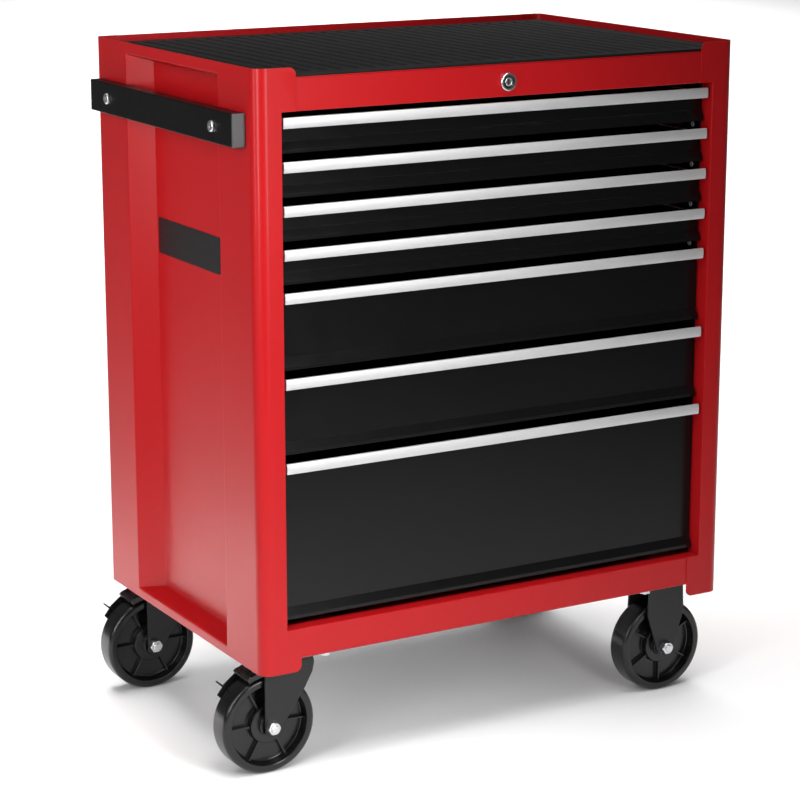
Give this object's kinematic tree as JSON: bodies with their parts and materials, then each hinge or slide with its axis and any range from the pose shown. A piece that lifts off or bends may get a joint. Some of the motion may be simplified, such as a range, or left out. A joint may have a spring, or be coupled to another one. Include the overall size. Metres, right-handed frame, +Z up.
{
  "type": "rolling tool box",
  "caption": "Folded-steel tool cabinet on casters, with full-width drawer pulls, a ribbed rubber top, a side push handle and a key lock.",
  "frame": {"origin": "floor level, at the middle of the whole object's footprint as it stands", "axes": "+X to the right along the drawers' width, seen from the front; +Y to the back, so the drawers open along -Y; +Z up"},
  "size_m": [0.7154, 0.458, 0.87],
  "materials": {
    "red_paint": "smooth semi-gloss powder coat",
    "drawer_paint": "satin powder coat",
    "pull_aluminium": "satin anodised extrusion",
    "rubber_mat": "matt with moulded ribs",
    "handle_paint": "satin black",
    "handle_plastic": "moulded",
    "zinc_steel": "bright zinc plate",
    "plate_black": "semi-gloss",
    "lock_chrome": "polished",
    "slide_steel": "bright zinc plate",
    "caster_paint": "satin black",
    "pedal_plastic": "semi-gloss moulded",
    "wheel_rubber": "semi-matt"
  },
  "bodies": {
    "cabinet": {"side_panel_left": "red_paint", "side_panel_right": "red_paint", "back_panel": "red_paint", "worktop": "red_paint", "base_pan": "red_paint", "top_mat": "rubber_mat", "slide_uprights": "red_paint", "handle_bar": "handle_paint", "handle_end_caps": "handle_plastic", "handle_bolts": "zinc_steel", "name_plate": "plate_black", "lock_housing": "lock_chrome", "slide_outer_left": "slide_steel", "slide_outer_right": "slide_steel", "caster_screws": "zinc_steel", "swivel_top_plates": "caster_paint", "fixed_axles": "zinc_steel", "fixed_fork_front": "caster_paint", "fixed_fork_rear": "caster_paint"},
    "lock_cylinder": {"lock_cylinder": "lock_chrome", "lock_tail": "slide_steel"},
    "lock_bar": {"lock_bar": "slide_steel"},
    "drawer_1": {"drawer_1_box": "drawer_paint", "drawer_1_pull": "pull_aluminium", "drawer_1_slide_inner": "slide_steel"},
    "slide_middle_1": {"drawer_1_slide_middle": "slide_steel"},
    "drawer_2": {"drawer_2_box": "drawer_paint", "drawer_2_pull": "pull_aluminium", "drawer_2_slide_inner": "slide_steel"},
    "slide_middle_2": {"drawer_2_slide_middle": "slide_steel"},
    "drawer_3": {"drawer_3_box": "drawer_paint", "drawer_3_pull": "pull_aluminium", "drawer_3_slide_inner": "slide_steel"},
    "slide_middle_3": {"drawer_3_slide_middle": "slide_steel"},
    "drawer_4": {"drawer_4_box": "drawer_paint", "drawer_4_pull": "pull_aluminium", "drawer_4_slide_inner": "slide_steel"},
    "slide_middle_4": {"drawer_4_slide_middle": "slide_steel"},
    "drawer_5": {"drawer_5_box": "drawer_paint", "drawer_5_pull": "pull_aluminium", "drawer_5_slide_inner": "slide_steel"},
    "slide_middle_5": {"drawer_5_slide_middle": "slide_steel"},
    "drawer_6": {"drawer_6_box": "drawer_paint", "drawer_6_pull": "pull_aluminium", "drawer_6_slide_inner": "slide_steel"},
    "slide_middle_6": {"drawer_6_slide_middle": "slide_steel"},
    "drawer_7": {"drawer_7_box": "drawer_paint", "drawer_7_pull": "pull_aluminium", "drawer_7_slide_inner": "slide_steel"},
    "slide_middle_7": {"drawer_7_slide_middle": "slide_steel"},
    "swivel_front": {"swivel_fork_front": "caster_paint", "swivel_axle_front": "zinc_steel"},
    "brake_pedal_front": {"brake_pedal_front": "pedal_plastic"},
    "wheel_left_front": {"wheel_left_front": "wheel_rubber"},
    "wheel_right_front": {"wheel_right_front": "wheel_rubber"},
    "swivel_rear": {"swivel_fork_rear": "caster_paint", "swivel_axle_rear": "zinc_steel"},
    "brake_pedal_rear": {"brake_pedal_rear": "pedal_plastic"},
    "wheel_left_rear": {"wheel_left_rear": "wheel_rubber"},
    "wheel_right_rear": {"wheel_right_rear": "wheel_rubber"}
  },
  "joints": [
    {"name": "drawer_1_slide", "type": "slide", "parent": "cabinet", "child": "drawer_1", "axis": [0, -1, 0], "range_m": [0, 0.38]},
    {"name": "slide_middle_1_travel", "type": "slide", "parent": "cabinet", "child": "slide_middle_1", "axis": [0, -1, 0], "range_m": [0, 0.19]},
    {"name": "drawer_2_slide", "type": "slide", "parent": "cabinet", "child": "drawer_2", "axis": [0, -1, 0], "range_m": [0, 0.38]},
    {"name": "slide_middle_2_travel", "type": "slide", "parent": "cabinet", "child": "slide_middle_2", "axis": [0, -1, 0], "range_m": [0, 0.19]},
    {"name": "drawer_3_slide", "type": "slide", "parent": "cabinet", "child": "drawer_3", "axis": [0, -1, 0], "range_m": [0, 0.38]},
    {"name": "slide_middle_3_travel", "type": "slide", "parent": "cabinet", "child": "slide_middle_3", "axis": [0, -1, 0], "range_m": [0, 0.19]},
    {"name": "drawer_4_slide", "type": "slide", "parent": "cabinet", "child": "drawer_4", "axis": [0, -1, 0], "range_m": [0, 0.38]},
    {"name": "slide_middle_4_travel", "type": "slide", "parent": "cabinet", "child": "slide_middle_4", "axis": [0, -1, 0], "range_m": [0, 0.19]},
    {"name": "drawer_5_slide", "type": "slide", "parent": "cabinet", "child": "drawer_5", "axis": [0, -1, 0], "range_m": [0, 0.38]},
    {"name": "slide_middle_5_travel", "type": "slide", "parent": "cabinet", "child": "slide_middle_5", "axis": [0, -1, 0], "range_m": [0, 0.19]},
    {"name": "drawer_6_slide", "type": "slide", "parent": "cabinet", "child": "drawer_6", "axis": [0, -1, 0], "range_m": [0, 0.38]},
    {"name": "slide_middle_6_travel", "type": "slide", "parent": "cabinet", "child": "slide_middle_6", "axis": [0, -1, 0], "range_m": [0, 0.19]},
    {"name": "drawer_7_slide", "type": "slide", "parent": "cabinet", "child": "drawer_7", "axis": [0, -1, 0], "range_m": [0, 0.38]},
    {"name": "slide_middle_7_travel", "type": "slide", "parent": "cabinet", "child": "slide_middle_7", "axis": [0, -1, 0], "range_m": [0, 0.19]},
    {"name": "lock_turn", "type": "hinge", "parent": "cabinet", "child": "lock_cylinder", "pos_m": [0.01775, -0.226, 0.837], "axis": [0, -1, 0], "range_deg": [0, 90]},
    {"name": "lock_bar_shift", "type": "slide", "parent": "cabinet", "child": "lock_bar", "axis": [1, 0, 0], "range_m": [0, 0.008]},
    {"name": "caster_swivel_front", "type": "hinge", "parent": "cabinet", "child": "swivel_front", "pos_m": [-0.26525, -0.172, 0.14], "axis": [0, 0, 1], "continuous": true},
    {"name": "wheel_left_front_spin", "type": "hinge", "parent": "swivel_front", "child": "wheel_left_front", "pos_m": [-0.29525, -0.172, 0.0625], "axis": [0, 1, 0], "continuous": true},
    {"name": "wheel_right_front_spin", "type": "hinge", "parent": "cabinet", "child": "wheel_right_front", "pos_m": [0.29475, -0.172, 0.0625], "axis": [0, 1, 0], "continuous": true},
    {"name": "brake_pedal_front_press", "type": "hinge", "parent": "swivel_front", "child": "brake_pedal_front", "pos_m": [-0.28425, -0.172, 0.1325], "axis": [0, -1, 0], "range_deg": [0, 4.5]},
    {"name": "caster_swivel_rear", "type": "hinge", "parent": "cabinet", "child": "swivel_rear", "pos_m": [-0.26525, 0.175, 0.14], "axis": [0, 0, 1], "continuous": true},
    {"name": "wheel_left_rear_spin", "type": "hinge", "parent": "swivel_rear", "child": "wheel_left_rear", "pos_m": [-0.29525, 0.175, 0.0625], "axis": [0, 1, 0], "continuous": true},
    {"name": "wheel_right_rear_spin", "type": "hinge", "parent": "cabinet", "child": "wheel_right_rear", "pos_m": [0.29475, 0.175, 0.0625], "axis": [0, 1, 0], "continuous": true},
    {"name": "brake_pedal_rear_press", "type": "hinge", "parent": "swivel_rear", "child": "brake_pedal_rear", "pos_m": [-0.28425, 0.175, 0.1325], "axis": [0, -1, 0], "range_deg": [0, 4.5]}
  ],
  "couplings": [
    {"joint": "slide_middle_1_travel", "follows": "drawer_1_slide", "ratio": 0.5},
    {"joint": "slide_middle_2_travel", "follows": "drawer_2_slide", "ratio": 0.5},
    {"joint": "slide_middle_3_travel", "follows": "drawer_3_slide", "ratio": 0.5},
    {"joint": "slide_middle_4_travel", "follows": "drawer_4_slide", "ratio": 0.5},
    {"joint": "slide_middle_5_travel", "follows": "drawer_5_slide", "ratio": 0.5},
    {"joint": "slide_middle_6_travel", "follows": "drawer_6_slide", "ratio": 0.5},
    {"joint": "slide_middle_7_travel", "follows": "drawer_7_slide", "ratio": 0.5},
    {"joint": "lock_bar_shift", "follows": "lock_turn", "m_per_rad": 0.00509}
  ]
}
